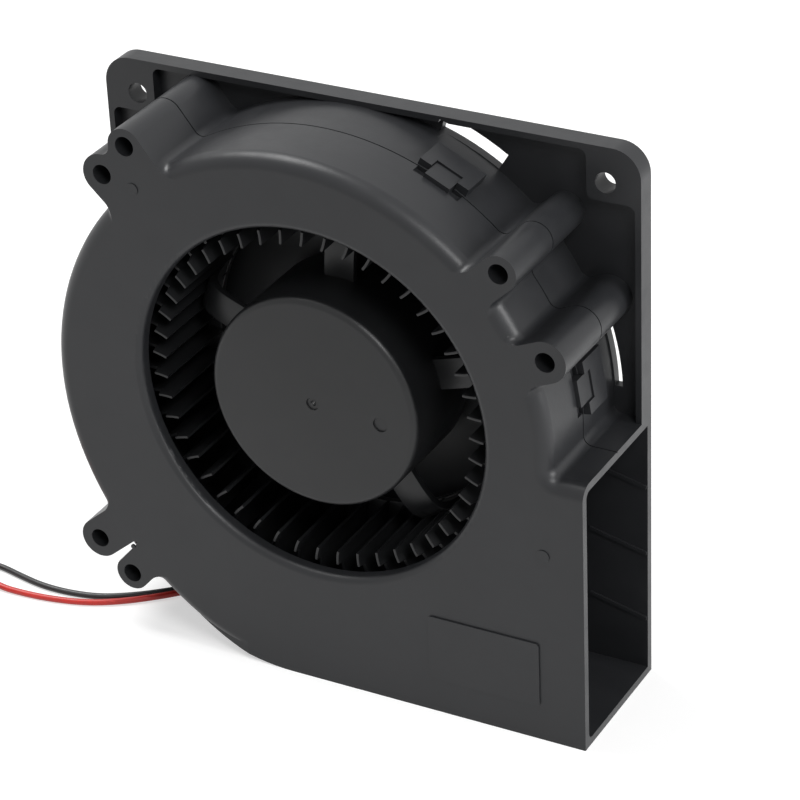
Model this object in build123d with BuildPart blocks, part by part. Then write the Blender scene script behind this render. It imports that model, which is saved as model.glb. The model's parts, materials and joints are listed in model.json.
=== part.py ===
from build123d import *
import os
from math import atan2, cos, degrees, hypot, pi, radians, sin, sqrt, tan

# Brushless centrifugal blower, 120 x 120 x 32 mm: a scroll housing in two halves and a drum impeller.
# Millimetres. +X is the side that the air leaves from, -Y is the inlet side and +Z is up.
# The blower stands on the flat bottom of its outlet, and the origin is at the middle of that bottom.

# Overall sizes
frame_width = 120.0
frame_height = 120.0
frame_depth = 32.0
wall = 1.7
floor_wall = 1.8

# Places along Y
front_y = -frame_depth / 2
back_y = frame_depth / 2
parting_y = 0.0
parting_groove = 0.3

# Flange of the rear frame
flange_thickness = 4.6
flange_corner_radius = 6.0
flange_rim = 1.3
pocket_floor = 2.0
pocket_corner_radius = 1.6
corner_pad = 11.5
hole_spacing = 105.0
hole_diameter = 4.4
slot_angles = [65.0, 9.7]
slot_widths = [3.9, 1.7]
slot_reach = 15.0

# Scroll and outlet
rotor_height = frame_height / 2 + 5.0
scroll_start_radius = frame_width / 2 - 7.2
scroll_end_radius = scroll_start_radius + 12.7
scroll_start_angle = 50.0
scroll_end_angle = 240.0
scroll_power = 1.62
scroll_arcs = 5
outlet_height = 61.0
tongue_radius = 2.0
edge_radius = 3.2
edge_fade = (-40.0, -18.0)
edge_fade_height = 30.0

# Inlet
impeller_gap = 4.7
blade_outer_radius = scroll_start_radius - wall - impeller_gap
inlet_radius = blade_outer_radius - 7.6
inlet_lip = 1.8
inlet_lip_depth = 3.0
inlet_rounding = 1.6

# Screw bosses: angle about the rotor's axis, and distance from the scroll's wall to the screw's middle
case_screw_spots = [(127.5, 7.2), (42.1, 5.3), (228.1, 4.1)]
mount_hole_spots = [(135.9, 5.2), (22.9, 4.2), (219.7, 5.6)]
case_boss_radius = 3.8
mount_boss_radius = 4.4
boss_root = 10.0
boss_fillet = 2.0
boss_mouth_diameter = 4.2
boss_mouth_depth = 6.0
screw_diameter = 2.6
screw_head_diameter = 5.2
screw_head_height = 1.8
screw_length = 21.6
screw_clearance = 0.3
screw_recess = 0.6
screw_socket_width = 2.0
screw_socket_depth = 1.0

# Snap hooks: angle of the middle of each hook about the rotor's axis
snap_angles = [64.0, 9.0]
snap_width = 5.8
snap_notch = 2.4
snap_reach = 2.6
snap_sink = 1.1
snap_rise = 0.9
snap_pad_width = 11.4
snap_pad_height = 1.3
snap_pad_end_y = 8.0
snap_gap = 0.15

# Marks left by moulding, and the plain raised panel
mark_height = 0.2
cover_marks = [(51.3, 43.8, 1.4), (-37.3, 105.9, 1.3), (-44.8, 21.0, 0.5)]
panel_size = (24.8, 15.0)
panel_centre = (37.7, 15.5)
panel_height = 0.35
panel_corner_radius = 0.8
duct_rib_heights = [45.0, 29.4, 13.7]
duct_rib_size = (13.0, 0.8, 0.4)
duct_rib_slope = -13.5
duct_rib_inset = 0.2

# Impeller
hub_radius = 23.3
hub_front_y = front_y + 1.8
hub_face = 1.6
hub_skirt = 1.4
hub_rounding = 1.5
hub_rear_y = back_y - 8.0
blade_count = 47
blade_inner_radius = blade_outer_radius - 11.9
blade_step_radius = inlet_radius - 1.1
blade_front_y = front_y + 2.7
blade_step_y = front_y + 4.8
blade_thickness = 0.6
blade_lean = 7.5
blade_bulge = 1.3
ring_width = 1.5
ring_height = 1.4
drum_floor_y = back_y - 7.4
drum_floor = 1.5
spoke_count = 5
spoke_width = 6.6
spoke_angle = 15.3
spoke_front_y = hub_front_y + 11.2
spoke_thickness = 1.6
spoke_overlap = 1.0
gate_radius = 1.4
hub_mark_circle = 15.3
hub_mark_angle = -4.4
hub_mark_radius = 1.6

# Motor
shaft_radius = 1.5
shaft_end_y = back_y - 2.8
bush_radius = 3.2
hub_boss_radius = 4.6
yoke_thickness = 1.0
yoke_rear_y = hub_rear_y - 1.4
magnet_thickness = 2.7
air_gap = 0.5
core_length = 9.0
core_rear_y = back_y - 12.0
core_front_y = core_rear_y - core_length
magnet_front_y = core_front_y - 3.0
core_hub_radius = 8.2
pole_count = 4
pole_arm = 5.0
pole_shoe = 2.2
pole_gap = 2.6
insulator = 0.8
winding = 2.0
winding_rounding = 1.2
winding_clearance = 0.3
tube_radius = 5.0
tube_wall = 1.0
tube_front_y = core_front_y - 0.6
tube_socket = 3.0
board_thickness = 1.6
board_radius = 17.6
board_rear_y = back_y - 5.8
bearing_width = 4.0
bearing_ring = 0.7
ball_radius = 0.55
ball_clearance = 0.05
cage_size = 0.5
ball_count = 7
front_bearing_y = core_front_y
rear_bearing_y = back_y - 8.0
hub_boss_end_y = front_bearing_y - 1.5
clip_radius = 2.8
clip_thickness = 0.5
clip_mouth = 1.8
clip_groove = 0.3
shaft_chamfer = 0.3

# Parts on the circuit board: the place on the board, and the size with the height above its rear face,
# or below nought for a part on its front face
board_part_chamfer = 0.2
board_parts = [
    ("drive_chip", (0.0, 12.6), (6.0, 4.2, 1.6)),
    ("board_capacitor", (12.4, 0.0), (3.2, 2.5, 1.8)),
    ("hall_sensor", (15.9, 0.0), (2.0, 3.0, -1.3)),
]

# Leads
lead_radius = 0.7
lead_pitch = 1.7
lead_y = back_y - 2.9
lead_angle = scroll_end_angle
lead_start_radius = 13.0
lead_bend = 1.5
lead_fit = 0.15
conduit_width = 6.0
conduit_wall = 0.9
conduit_start_radius = 20.0
solder_radius = 0.8
solder_height = 0.6
solder_taper = 25.0

# Loose leads, from the housing's wall along the floor, as (x, y, z)
black_route = [
    (-34.9, 13.1, 6.3),
    (-36.0, 11.6, 4.6),
    (-37.8, 9.1, 2.9),
    (-40.2, 5.6, 1.5),
    (-43.4, 1.7, 0.75),
    (-47.6, -2.2, 0.75),
    (-53.0, -6.4, 0.75),
    (-59.0, -9.8, 0.75),
    (-65.8, -11.2, 0.75),
    (-72.9, -11.3, 0.75),
    (-79.4, -10.0, 0.75),
    (-86.0, -8.4, 0.75),
    (-92.3, -8.6, 0.9),
    (-97.4, -10.0, 1.4),
]
red_route = [
    (-33.5, 13.1, 5.4),
    (-34.7, 10.9, 3.8),
    (-36.6, 7.9, 2.3),
    (-39.3, 4.2, 1.0),
    (-43.2, -0.2, 0.75),
    (-48.2, -4.9, 0.75),
    (-53.9, -9.4, 0.75),
    (-60.2, -12.9, 0.75),
    (-67.6, -14.8, 0.75),
    (-75.0, -15.6, 0.75),
    (-82.0, -15.6, 0.9),
    (-88.4, -13.9, 2.6),
    (-93.6, -11.9, 4.6),
    (-97.0, -10.6, 5.0),
]
black_tail_route = [(-98.6, -28.1, 2.7), (-95.7, -28.9, 2.9), (-92.9, -28.6, 2.9)]
red_tail_route = [(-98.5, -27.9, 5.6), (-95.6, -27.5, 5.0), (-92.9, -26.3, 3.7)]
arc_share = 0.45
coil_centre = (-101.0, -19.0)
coil_radius = 8.1
coil_band = 3.0
coil_rest = 0.5
connector_size = (9.8, 7.5, 5.7)
connector_x = -90.5
connector_y = -27.1
connector_z = 2.85
connector_pitch = 2.5
connector_socket = (1.7, 6.4)
connector_ridge = (4.0, 2.6, 0.7)
connector_chamfer = 0.5
terminal_size = (5.2, 1.2)
tie_width = 2.2
tie_thickness = 0.35
tie_gap = 0.1
tie_angle = 200.0


os.makedirs("parts", exist_ok=True)


def y_plane(y):
    """The plane square to the rotor's axis at that Y. Its own x is X and its own y is Z."""
    return Plane.XZ.offset(-y)


def rotor_plane(y):
    """The same plane, with its origin on the rotor's axis."""
    return Plane(origin=(0, y, rotor_height), x_dir=(1, 0, 0), z_dir=(0, -1, 0))


# The plane for turned profiles: its own x is the radius and its own y is Y.
turning_plane = Plane(origin=(0, 0, rotor_height), x_dir=(1, 0, 0), z_dir=(0, 0, 1))
rotor_axis = Axis((0, 0, rotor_height), (0, 1, 0))


def scroll_radius(angle):
    """Outer radius of the scroll's wall about the rotor's axis."""
    share = max(0.0, angle - scroll_start_angle) / (scroll_end_angle - scroll_start_angle)
    return scroll_start_radius + (scroll_end_radius - scroll_start_radius) * share**scroll_power


def scroll_point(angle, inset=0.0):
    """A point on the scroll's wall, inset from its outside, as (x, z)."""
    radius = scroll_radius(angle) - inset
    return (radius * cos(radians(angle)), rotor_height + radius * sin(radians(angle)))


def scroll_face(inset, end_x):
    """The scroll with its outlet as a flat face, inset from the outside, with the outlet ending at end_x."""
    top = outlet_height - inset
    start_radius = scroll_start_radius - inset
    tongue = (sqrt(start_radius**2 - (top - rotor_height) ** 2), top)
    tongue_angle = degrees(atan2(top - rotor_height, tongue[0]))
    step = (scroll_end_angle - scroll_start_angle) / scroll_arcs
    spiral = [scroll_point(scroll_start_angle + step * i, inset) for i in range(scroll_arcs + 1)]
    with BuildSketch() as face:
        with BuildLine():
            Line((end_x, inset), (end_x, top))
            Line((end_x, top), tongue)
            arc = ThreePointArc(
                tongue, scroll_point((tongue_angle + scroll_start_angle) / 2, inset), spiral[0]
            )
            for start, end in zip(spiral, spiral[1:]):
                arc = TangentArc(start, end, tangent=arc % 1)
            # The last arc is the one that also touches the flat bottom
            run = arc % 1
            reach = (spiral[-1][1] - inset) / -run.Y
            belly_end = (spiral[-1][0] + reach * run.X + reach, inset)
            TangentArc(spiral[-1], belly_end, tangent=run)
            Line(belly_end, (end_x, inset))
        make_face()
        corner = face.vertices().sort_by_distance((*tongue, 0))[0]
        fillet(corner, tongue_radius + inset)
    return face.sketch


def spot_places(spots):
    """The middles of screws, from their angles and their distances from the scroll's wall, as (x, z)."""
    return [scroll_point(angle, -reach) for angle, reach in spots]


case_screw_places = spot_places(case_screw_spots)
mount_hole_places = spot_places(mount_hole_spots)


def boss_necks():
    """For each boss, its radius, its length from inside the scroll and the middle of that length."""
    for places, radius in ((case_screw_places, case_boss_radius), (mount_hole_places, mount_boss_radius)):
        for x, z in places:
            angle = atan2(z - rotor_height, x)
            inner = scroll_start_radius - boss_root
            reach = hypot(x, z - rotor_height) - inner
            middle = inner + reach / 2
            spot = (middle * cos(angle), rotor_height + middle * sin(angle), 0)
            yield radius, reach, Location(spot, (0, 0, degrees(angle)))


def neck_face(inset=0.0):
    """The six bosses with their necks, inset from their outside."""
    with BuildSketch() as face:
        for radius, reach, spot in boss_necks():
            with Locations(spot):
                SlotCenterToCenter(reach, 2 * (radius - inset))
    return face.sketch


def neck_corners(part):
    """The edges along which the sides of the necks meet the scroll or another neck, where these have room."""
    necks = [(radius, reach, spot.inverse()) for radius, reach, spot in boss_necks()]
    levels = [face.center().Y for face in part.faces().sort_by(Axis.Y)]
    found = []
    for edge in part.edges():
        points = [edge @ share for share in (0.0, 0.3, 0.7, 1.0)]
        if any(all(abs(p.Y - level) < 1e-3 for p in points) for level in (levels[0], levels[-1])):
            continue
        for radius, reach, turn in necks:
            local = [(turn * Location((p.X, p.Z, 0))).position for p in points]
            if all(abs(abs(p.Y) - radius) < 1e-3 and abs(p.X) < reach / 2 - 1e-3 for p in local):
                found.append(edge)
                break
    middles = [edge.center() for edge in found]
    return [
        edge for edge, middle in zip(found, middles)
        if not any(0.01 < (middle - other).length < 2 * boss_fillet for other in middles)
    ]


def boss_solid(from_y, to_y):
    """The scroll with its bosses, from one Y to the other, with rounded corners at the necks."""
    with BuildPart() as solid:
        with BuildSketch(y_plane(from_y)):
            add(scroll_face(0.0, frame_width / 2))
            add(neck_face())
        extrude(amount=from_y - to_y)
        fillet(neck_corners(solid), boss_fillet)
    return solid.part


def cut_at(places, diameter, from_y, to_y):
    """Round holes along Y at those places, from one Y to the other, taken out of the part being built."""
    with BuildSketch(y_plane(from_y)) as holes:
        for x, z in places:
            with Locations((x, z)):
                Circle(diameter / 2)
    extrude(holes.sketch, amount=from_y - to_y, mode=Mode.SUBTRACT)


def snap_plane(angle, height):
    """A plane that faces out of the scroll: its own x runs round the scroll and its own y is Y."""
    outward = Vector(cos(radians(angle)), 0, sin(radians(angle)))
    round_way = Vector(sin(radians(angle)), 0, -cos(radians(angle)))
    origin = Vector(0, parting_y, rotor_height) + outward * (scroll_radius(angle) + height)
    return Plane(origin=origin, x_dir=round_way, z_dir=outward)


def block_on(plane, middle_x, from_y, to_y, width, height, mode=Mode.ADD):
    """A block on a plane: its middle along x, its ends along y, its width and its height."""
    with BuildSketch(plane) as foot:
        with Locations((middle_x, (from_y + to_y) / 2)):
            Rectangle(width, to_y - from_y)
    extrude(foot.sketch, amount=height, mode=mode)


def ring_of(inner, outer, from_y, to_y, mode=Mode.ADD):
    """A ring or disc about the rotor's axis, from one Y to a Y further forward."""
    with BuildSketch(rotor_plane(from_y)) as ring:
        Circle(outer)
        if inner > 0:
            Circle(inner, mode=Mode.SUBTRACT)
    extrude(ring.sketch, amount=from_y - to_y, mode=mode)


def lead_frame(y):
    """A plane like the rotor's, turned so that its own x runs out along the leads."""
    along = Vector(cos(radians(lead_angle)), 0, sin(radians(lead_angle)))
    return Plane(origin=(0, y, rotor_height), x_dir=along, z_dir=(0, -1, 0))


# Inside of the front cover
with BuildPart() as cover_cavity:
    with BuildSketch(y_plane(parting_y)):
        add(scroll_face(wall, frame_width / 2 + wall))
    extrude(amount=parting_y - front_y - wall)
    deep_edges = cover_cavity.edges().filter_by(lambda e: abs(e.center().Y - front_y - wall) < 1e-3)
    fillet(deep_edges.filter_by(lambda e: e.center().X < frame_width / 2), edge_radius - wall)

# Lower part of the front cover, where its front edge is sharp and the rounding fades out
with BuildPart() as cover_bottom:
    with BuildSketch(y_plane(parting_y)):
        add(scroll_face(0.0, frame_width / 2))
    extrude(amount=parting_y - front_y)
    with BuildSketch():
        with BuildLine():
            Polyline(
                (edge_fade[0], parting_y),
                (edge_fade[0], front_y + edge_radius),
                (edge_fade[1], front_y),
                (frame_width / 2, front_y),
                (frame_width / 2, parting_y),
                close=True,
            )
        make_face()
    extrude(amount=edge_fade_height, mode=Mode.INTERSECT)

# Front cover
with BuildPart() as front_cover:
    with BuildSketch(y_plane(parting_y)):
        add(scroll_face(0.0, frame_width / 2))
    extrude(amount=parting_y - front_y)
    front_edges = front_cover.edges().filter_by(lambda e: abs(e.center().Y - front_y) < 1e-3)
    fillet(front_edges.filter_by(lambda e: e.center().X < frame_width / 2 - 1e-3), edge_radius)
    with BuildSketch(y_plane(parting_y)):
        add(neck_face())
    extrude(amount=parting_y - front_y)
    fillet(neck_corners(front_cover), boss_fillet)
    add(cover_bottom.part)
    # Groove along the parting line
    with BuildSketch(y_plane(parting_y)):
        with Locations((0, frame_height / 2)):
            Rectangle(2 * frame_width, 2 * frame_height)
        add(scroll_face(parting_groove, frame_width / 2), mode=Mode.SUBTRACT)
        add(neck_face(parting_groove), mode=Mode.SUBTRACT)
    extrude(amount=parting_groove, mode=Mode.SUBTRACT)
    add(cover_cavity.part, mode=Mode.SUBTRACT)
    ring_of(0.0, inlet_radius, parting_y, front_y, mode=Mode.SUBTRACT)
    ring_of(inlet_radius, inlet_radius + inlet_lip, front_y + inlet_lip_depth, front_y)
    eye = front_cover.edges().filter_by(GeomType.CIRCLE).filter_by(
        lambda e: abs(e.center().Y - front_y) < 1e-3 and abs(e.radius - inlet_radius) < 1e-3
    )
    fillet(eye, inlet_rounding)
    cut_at(case_screw_places, boss_mouth_diameter, front_y + boss_mouth_depth, front_y)
    cut_at(case_screw_places, screw_diameter, parting_y, front_y)
    cut_at(mount_hole_places, boss_mouth_diameter, parting_y, front_y)
    for angle in snap_angles:
        tongue_side = snap_width / 2 + snap_notch / 2
        for side in (-tongue_side, tongue_side):
            notch = snap_plane(angle, -snap_sink)
            block_on(notch, side, -snap_notch, 0.0, snap_notch, 2 * snap_sink, mode=Mode.SUBTRACT)
        block_on(
            snap_plane(angle, -snap_sink), 0.0, -snap_notch, snap_reach, snap_width, snap_sink + snap_rise
        )
    for x, z, radius in cover_marks:
        with BuildSketch(y_plane(front_y + mark_height)):
            with Locations((x, z)):
                Circle(radius)
        extrude(amount=2 * mark_height)
    with BuildSketch(y_plane(front_y)):
        with Locations(panel_centre):
            RectangleRounded(*panel_size, panel_corner_radius)
    extrude(amount=panel_height)
front_cover.part.label = "front_cover"
export_step(front_cover.part, "parts/front_cover.step")

# Inside of the rear frame
rear_floor_y = back_y - floor_wall
flange_y = back_y - flange_thickness
pocket_y = back_y - pocket_floor
head_seat_y = back_y - screw_head_height - screw_recess
lead_end_radius = scroll_end_radius + lead_radius
slot_inner_radius = scroll_start_radius + parting_groove
with BuildPart() as rear_cavity:
    with BuildSketch(y_plane(rear_floor_y)):
        add(scroll_face(wall, frame_width / 2 + wall))
    extrude(amount=rear_floor_y - parting_y)

# Rear frame
hole_reach = hole_spacing / 2
hole_middle = frame_height / 2
flange_holes = [
    (-hole_reach, hole_middle + hole_reach),
    (hole_reach, hole_middle + hole_reach),
    (-hole_reach, hole_middle - hole_reach),
]
with BuildPart() as rear_frame:
    with BuildSketch(y_plane(back_y)):
        with Locations((0, hole_middle)):
            RectangleRounded(frame_width, frame_height, flange_corner_radius)
    extrude(amount=flange_thickness)
    # Pocket in front, with pads left at the three corners that have a hole
    with BuildSketch(y_plane(pocket_y)) as pocket:
        with Locations((0, hole_middle)):
            RectangleRounded(
                frame_width - 2 * flange_rim, frame_height - 2 * flange_rim, flange_corner_radius - flange_rim
            )
        corners = []
        for x, z in flange_holes:
            side = 1 if x > 0 else -1
            corner_x = side * frame_width / 2
            corner_z = frame_height if z > hole_middle else 0.0
            inward = 1 if corner_z == 0.0 else -1
            with Locations((corner_x, corner_z)):
                Rectangle(2 * corner_pad, 2 * corner_pad, mode=Mode.SUBTRACT)
            pad_corners = [(corner_pad, corner_pad), (flange_rim, corner_pad), (corner_pad, flange_rim)]
            for along_x, along_z in pad_corners:
                corners.append((corner_x - side * along_x, corner_z + inward * along_z, 0))
        fillet([pocket.vertices().sort_by_distance(spot)[0] for spot in corners], pocket_corner_radius)
    extrude(amount=flange_thickness, mode=Mode.SUBTRACT)
    add(boss_solid(back_y, parting_y))
    add(rear_cavity.part, mode=Mode.SUBTRACT)
    # Seat of the motor in the middle of the floor
    ring_of(tube_radius, tube_radius + tube_socket, rear_floor_y, board_rear_y)
    # Covered way of the leads, open to the rear
    with BuildSketch(lead_frame(rear_floor_y)):
        with Locations(((conduit_start_radius + scroll_end_radius - wall) / 2, 0)):
            Rectangle(scroll_end_radius - wall - conduit_start_radius, conduit_width)
    extrude(amount=rear_floor_y - lead_y + lead_radius + lead_fit + conduit_wall)
    with BuildSketch(lead_frame(back_y)):
        with Locations(((conduit_start_radius + lead_end_radius) / 2, 0)):
            Rectangle(lead_end_radius - conduit_start_radius, conduit_width - 2 * conduit_wall)
    extrude(amount=back_y - lead_y + lead_radius + lead_fit, mode=Mode.SUBTRACT)
    # Ribs on the floor of the outlet
    for height in duct_rib_heights:
        length, thickness, rise = duct_rib_size
        way = Vector(cos(radians(duct_rib_slope)), 0, sin(radians(duct_rib_slope)))
        end = Vector(frame_width / 2 - duct_rib_inset, rear_floor_y, height)
        rib_plane = Plane(origin=end, x_dir=way, z_dir=(0, -1, 0))
        block_on(rib_plane, -length / 2, -thickness / 2, thickness / 2, length, rise)
    cut_at(flange_holes, hole_diameter, back_y, flange_y)
    cut_at(mount_hole_places, boss_mouth_diameter, back_y, parting_y)
    cut_at(case_screw_places, screw_diameter + screw_clearance, back_y, parting_y)
    cut_at(case_screw_places, screw_head_diameter + screw_clearance, back_y, head_seat_y)
    # Slots in the flange behind the snaps
    for angle, width in zip(slot_angles, slot_widths):
        outer = slot_inner_radius + width
        with BuildSketch(rotor_plane(back_y)):
            with BuildLine():
                near = [
                    (slot_inner_radius * cos(radians(a)), slot_inner_radius * sin(radians(a)))
                    for a in (angle - slot_reach / 2, angle, angle + slot_reach / 2)
                ]
                far = [(x * outer / slot_inner_radius, z * outer / slot_inner_radius) for x, z in near]
                ThreePointArc(*near)
                ThreePointArc(*far)
                Line(near[0], far[0])
                Line(near[2], far[2])
            make_face()
        extrude(amount=flange_thickness, mode=Mode.SUBTRACT)
    # Raised pads that hold the tongues of the snaps
    for angle in snap_angles:
        block_on(
            snap_plane(angle, -snap_sink), 0.0, parting_groove, snap_pad_end_y,
            snap_pad_width, snap_sink + snap_pad_height,
        )
        block_on(
            snap_plane(angle, -snap_sink - snap_gap), 0.0, parting_y, snap_reach + snap_gap,
            snap_width + 2 * snap_gap, 2 * snap_sink + snap_pad_height, mode=Mode.SUBTRACT,
        )
rear_frame.part.label = "rear_frame"
export_step(rear_frame.part, "parts/rear_frame.step")

# Case screws, from the rear
with BuildPart() as case_screws:
    with BuildSketch(y_plane(head_seat_y + screw_head_height)):
        with Locations(*case_screw_places):
            Circle(screw_head_diameter / 2)
    extrude(amount=screw_head_height)
    with BuildSketch(y_plane(head_seat_y)):
        with Locations(*case_screw_places):
            Circle(screw_diameter / 2)
    extrude(amount=screw_length)
    with BuildSketch(y_plane(head_seat_y + screw_head_height)):
        with Locations(*case_screw_places):
            RegularPolygon(screw_socket_width / 2, 6)
    extrude(amount=screw_socket_depth, mode=Mode.SUBTRACT)
case_screws.part.label = "case_screws"
export_step(case_screws.part, "parts/case_screws.step")

# Bearing tube
front_bearing_end_y = front_bearing_y + bearing_width
rear_bearing_end_y = rear_bearing_y + bearing_width
bearing_radius = tube_radius - tube_wall
shoulder_radius = bearing_radius - bearing_ring
with BuildPart() as bearing_tube:
    ring_of(shoulder_radius, tube_radius, rear_floor_y, tube_front_y)
    ring_of(0.0, bearing_radius, front_bearing_end_y, tube_front_y, mode=Mode.SUBTRACT)
    ring_of(0.0, bearing_radius, rear_floor_y, rear_bearing_y, mode=Mode.SUBTRACT)
bearing_tube.part.label = "bearing_tube"
export_step(bearing_tube.part, "parts/bearing_tube.step")

# Bearings: the outer rings and the balls stay with the housing, and the inner rings turn with the shaft
ball_circle = bearing_radius - bearing_ring - ball_radius
inner_ring_radius = ball_circle - ball_radius - ball_clearance
for name, start_y in (("front", front_bearing_y), ("rear", rear_bearing_y)):
    middle_y = start_y + bearing_width / 2
    with BuildPart() as outer_ring:
        ring_of(bearing_radius - bearing_ring, bearing_radius, start_y + bearing_width, start_y)
    outer_ring.part.label = f"{name}_bearing_outer_ring"
    export_step(outer_ring.part, f"parts/{name}_bearing_outer_ring.step")
    with BuildPart() as balls:
        ring_of(ball_circle - cage_size / 2, ball_circle + cage_size / 2,
                middle_y + cage_size / 2, middle_y - cage_size / 2)
        with Locations(rotor_plane(middle_y)):
            with PolarLocations(ball_circle, ball_count):
                Sphere(ball_radius)
    balls.part.label = f"{name}_bearing_balls"
    export_step(balls.part, f"parts/{name}_bearing_balls.step")
    with BuildPart() as inner_ring:
        ring_of(shaft_radius, inner_ring_radius, start_y + bearing_width, start_y)
    inner_ring.part.label = f"{name}_bearing_inner_ring"
    export_step(inner_ring.part, f"parts/{name}_bearing_inner_ring.step")

# Stator core
magnet_inner_radius = hub_radius - hub_skirt - yoke_thickness - magnet_thickness
core_radius = magnet_inner_radius - air_gap
shoe_inner_radius = core_radius - pole_shoe


def pole_arms(width, from_radius, to_radius, mode=Mode.ADD):
    """Straight arms round the axis, in the sketch being built."""
    with PolarLocations((from_radius + to_radius) / 2, pole_count, start_angle=180 / pole_count):
        Rectangle(to_radius - from_radius, width, mode=mode)


def pole_shoes(inner, outer, gap):
    """The curved shoes at the ends of the arms, as a ring cut by straight gaps."""
    with BuildSketch() as shoes:
        Circle(outer)
        Circle(inner, mode=Mode.SUBTRACT)
        with PolarLocations(outer / 2, pole_count):
            Rectangle(outer + gap, gap, mode=Mode.SUBTRACT)
    return shoes.sketch


with BuildPart() as stator_core:
    with BuildSketch(rotor_plane(core_rear_y)):
        Circle(core_hub_radius)
        pole_arms(pole_arm, 0.0, shoe_inner_radius + pole_shoe / 2)
        add(pole_shoes(shoe_inner_radius, core_radius, pole_gap))
        Circle(tube_radius, mode=Mode.SUBTRACT)
    extrude(amount=core_rear_y - core_front_y)
stator_core.part.label = "stator_core"
export_step(stator_core.part, "parts/stator_core.step")

# Insulators on both faces of the core
coil_inner_radius = core_hub_radius + winding_clearance
insulated_arm = pole_arm + 2 * insulator
coil_outer_radius = sqrt(shoe_inner_radius**2 - (insulated_arm / 2) ** 2) - winding_clearance - insulator
for name, face_y, way in (("front", core_front_y, 1), ("rear", core_rear_y, -1)):
    outward = Plane(
        origin=(0, face_y, rotor_height), x_dir=(1, 0, 0), z_dir=(0, -way, 0)
    )
    depth = core_length / 2
    with BuildPart() as cover_plate:
        with BuildSketch(outward):
            Circle(core_hub_radius)
            pole_arms(insulated_arm, 0.0, shoe_inner_radius)
            Circle(tube_radius, mode=Mode.SUBTRACT)
        extrude(amount=insulator)
        with BuildSketch(outward):
            pole_arms(insulated_arm + 2 * winding, coil_outer_radius, coil_outer_radius + insulator)
        extrude(amount=insulator + winding)
        # Sides of the arms, down to the middle of the core
        with BuildSketch(outward):
            pole_arms(insulated_arm, core_hub_radius, coil_outer_radius + insulator)
            pole_arms(pole_arm, 0.0, core_radius, mode=Mode.SUBTRACT)
        extrude(amount=-depth)
    cover_plate.part.label = f"{name}_insulator"
    export_step(cover_plate.part, f"parts/{name}_insulator.step")

# Coils, one round each arm
with BuildPart() as stator_coils:
    with BuildSketch(rotor_plane(core_rear_y + insulator + winding)):
        pole_arms(insulated_arm + 2 * winding, coil_inner_radius, coil_outer_radius)
    extrude(amount=core_rear_y - core_front_y + 2 * insulator + 2 * winding)
    long_edges = stator_coils.edges().filter_by(
        lambda e: abs(e.length - (coil_outer_radius - coil_inner_radius)) < 1e-3 and abs((e % 0.5).Y) < 1e-3
    )
    fillet(long_edges, winding_rounding)
    with BuildSketch(rotor_plane(core_rear_y + insulator)):
        pole_arms(insulated_arm, core_hub_radius, shoe_inner_radius)
    extrude(amount=core_rear_y - core_front_y + 2 * insulator, mode=Mode.SUBTRACT)
stator_coils.part.label = "stator_coils"
export_step(stator_coils.part, "parts/stator_coils.step")

# Circuit board and the parts on it
board_front_y = board_rear_y - board_thickness
with BuildPart() as circuit_board:
    ring_of(tube_radius, board_radius, board_rear_y, board_front_y)
circuit_board.part.label = "circuit_board"
export_step(circuit_board.part, "parts/circuit_board.step")

for name, place, size in board_parts:
    with BuildPart() as board_part:
        length, width, height = size
        with BuildSketch(rotor_plane(board_rear_y if height > 0 else board_front_y)):
            with Locations(place):
                Rectangle(length, width)
        extrude(amount=-height)
        chamfer(board_part.edges().filter_by(Axis.Y), board_part_chamfer)
    board_part.part.label = name
    export_step(board_part.part, f"parts/{name}.step")

# Leads inside the housing, from the board to the wall
exit_points = {}
lead_offsets = {"black": -lead_pitch / 2, "red": lead_pitch / 2}
along = lead_frame(0).x_dir
across = lead_frame(0).y_dir
for name, offset in lead_offsets.items():
    joint = Vector(0, board_rear_y, rotor_height) + along * lead_start_radius + across * offset
    turn = Vector(joint.X, lead_y, joint.Z)
    exit_point = turn + along * (lead_end_radius - lead_start_radius)
    exit_points[name] = exit_point
    with BuildPart() as inner_lead:
        with BuildLine():
            FilletPolyline(joint, turn, exit_point, radius=lead_bend)
        with BuildSketch(Plane(origin=joint, z_dir=(0, 1, 0))):
            Circle(lead_radius)
        sweep()
    inner_lead.part.label = f"{name}_inner_lead"
    export_step(inner_lead.part, f"parts/{name}_inner_lead.step")
with BuildPart() as solder_joints:
    for offset in lead_offsets.values():
        spot = Vector(0, board_front_y, rotor_height) + along * lead_start_radius + across * offset
        with BuildSketch(Plane(origin=spot, z_dir=(0, -1, 0))):
            Circle(solder_radius)
        extrude(amount=solder_height, taper=solder_taper)
solder_joints.part.label = "solder_joints"
export_step(solder_joints.part, "parts/solder_joints.step")

# Impeller
drum_rear_y = drum_floor_y + drum_floor


def blade_face(radius_limit):
    """All blades as one flat sketch about the rotor's axis, cut off outside that radius."""
    lean = radians(blade_lean)
    start = Vector(blade_inner_radius, 0)
    sideways = blade_inner_radius * sin(lean)
    reach = sqrt(blade_outer_radius**2 - sideways**2) - blade_inner_radius * cos(lean)
    way = Vector(cos(lean), sin(lean))
    normal = Vector(-sin(lean), cos(lean))
    middle = start + way * (reach / 2) - normal * blade_bulge
    end = start + way * reach
    half = normal * (blade_thickness / 2)
    with BuildSketch() as one:
        with BuildLine():
            ThreePointArc(start - half, middle - half, end - half)
            ThreePointArc(start + half, middle + half, end + half)
            Line(start - half, start + half)
            Line(end - half, end + half)
        make_face()
    with BuildSketch() as blades:
        with PolarLocations(0, blade_count):
            add(one.sketch)
        Circle(radius_limit, mode=Mode.INTERSECT)
    return blades.sketch


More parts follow.
